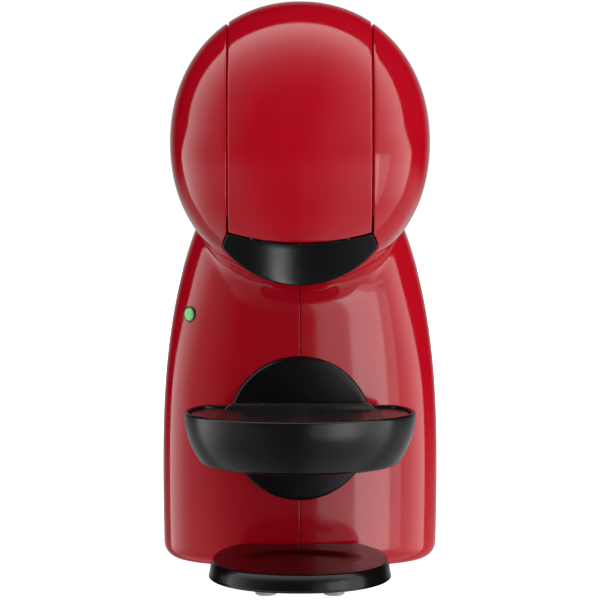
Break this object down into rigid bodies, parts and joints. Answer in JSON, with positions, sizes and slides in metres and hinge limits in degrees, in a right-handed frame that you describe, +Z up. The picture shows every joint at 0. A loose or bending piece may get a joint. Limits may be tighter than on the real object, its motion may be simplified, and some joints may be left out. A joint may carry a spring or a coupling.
{
  "type": "pod coffee machine",
  "caption": "Compact pod coffee machine: round domed head with a lift-up locking handle, capsule drawer, round drip tray, foot plate and a rear water tank.",
  "frame": {"origin": "on the resting surface, under the middle of the machine's overall box", "axes": "+Z up; -Y is the front with the drip tray; +X is the right-hand side seen from the front"},
  "size_m": [0.14, 0.22, 0.275],
  "materials": {
    "shell_red": "high-gloss red moulded plastic",
    "gloss_black": "glossy black moulded plastic",
    "grid_black": "glossy black moulded plastic",
    "dark_plastic": "fine-textured dark moulded plastic",
    "rubber_dark": "matte rubber",
    "silicone_pale": "translucent pale silicone",
    "steel": "bright zinc-plated steel",
    "heater_aluminium": "die-cast aluminium",
    "tank_smoke": "clear smoke-tinted plastic",
    "green_light": "lit green diffuser",
    "board_green": "solder-masked board",
    "coil_copper": "varnished copper winding"
  },
  "bodies": {
    "machine": {"left_shell": "shell_red", "right_shell": "shell_red", "handle_pin": "steel", "rear_cover": "gloss_black", "head_frame": "dark_plastic", "thermoblock": "heater_aluminium", "thermostat": "dark_plastic", "thermal_fuse": "silicone_pale", "selector_valve": "dark_plastic", "button_bezel": "gloss_black", "control_board": "board_green", "tray_carrier": "gloss_black", "foot_plate": "gloss_black", "bottom_cover": "dark_plastic", "screw_left_front": "steel", "screw_right_front": "steel", "screw_left_rear": "steel", "screw_right_rear": "steel", "screw_left_plate": "steel", "screw_right_plate": "steel", "left_front_foot": "rubber_dark", "left_mid_foot": "rubber_dark", "left_rear_foot": "rubber_dark", "right_front_foot": "rubber_dark", "right_mid_foot": "rubber_dark", "right_rear_foot": "rubber_dark", "tank_socket": "dark_plastic", "dock_panel": "dark_plastic", "pump_mount": "rubber_dark", "pump_body": "dark_plastic", "pump_coil": "coil_copper", "piston_spring": "steel", "pump_cap": "dark_plastic", "pump_strap": "rubber_dark", "inlet_hose": "silicone_pale", "pressure_hose": "silicone_pale", "brew_hose": "silicone_pale", "cord_inlet": "rubber_dark"},
    "handle": {"locking_handle": "shell_red"},
    "injector": {"injection_plate": "dark_plastic", "injection_needle": "steel", "plate_seal": "silicone_pale"},
    "holder": {"capsule_holder": "gloss_black"},
    "selector": {"selector_lever": "gloss_black"},
    "button": {"power_button": "green_light"},
    "tray": {"drip_tray": "gloss_black"},
    "grid": {"drip_grid": "grid_black"},
    "tank": {"water_tank": "tank_smoke", "valve_cage": "dark_plastic", "valve_spring": "steel"},
    "lid": {"tank_lid": "gloss_black"},
    "valve": {"tank_valve": "silicone_pale"},
    "piston": {"pump_piston": "steel"}
  },
  "joints": [
    {"name": "handle_lift", "type": "hinge", "parent": "machine", "child": "handle", "pos_m": [0, 0.02, 0.26355], "axis": [-1, 0, 0], "range_deg": [0, 80]},
    {"name": "injector_rise", "type": "slide", "parent": "machine", "child": "injector", "axis": [0, 0, 1], "range_m": [0, 0.00405], "deforming": ["brew_hose"]},
    {"name": "holder_slide", "type": "slide", "parent": "machine", "child": "holder", "axis": [0, -1, 0], "range_m": [0, 0.055]},
    {"name": "selector_turn", "type": "hinge", "parent": "machine", "child": "selector", "pos_m": [0, 0.042, 0.232], "axis": [0, 1, 0], "range_deg": [-18, 18]},
    {"name": "button_press", "type": "slide", "parent": "machine", "child": "button", "axis": [0.7071, 0.7071, 0], "range_m": [0, 0.0012], "stiffness_N_per_m": 300},
    {"name": "tray_pull", "type": "slide", "parent": "machine", "child": "tray", "axis": [0, -1, 0], "range_m": [0, 0.045]},
    {"name": "grid_lift", "type": "slide", "parent": "tray", "child": "grid", "axis": [0, 0, 1], "range_m": [0, 0.02]},
    {"name": "tank_lift", "type": "slide", "parent": "machine", "child": "tank", "axis": [0, 0, 1], "range_m": [0, 0.03]},
    {"name": "lid_open", "type": "hinge", "parent": "tank", "child": "lid", "pos_m": [0, 0.1055, 0.207], "axis": [-1, 0, 0], "range_deg": [0, 80]},
    {"name": "valve_lift", "type": "slide", "parent": "tank", "child": "valve", "axis": [0, 0, 1], "range_m": [0, 0.0025], "stiffness_N_per_m": 150, "deforming": ["valve_spring"]},
    {"name": "piston_stroke", "type": "slide", "parent": "machine", "child": "piston", "axis": [0, 0, 1], "range_m": [0, 0.004], "stiffness_N_per_m": 600, "deforming": ["piston_spring"]}
  ],
  "couplings": [
    {"joint": "injector_rise", "follows": "handle_lift", "m_per_rad": 0.0028648}
  ]
}
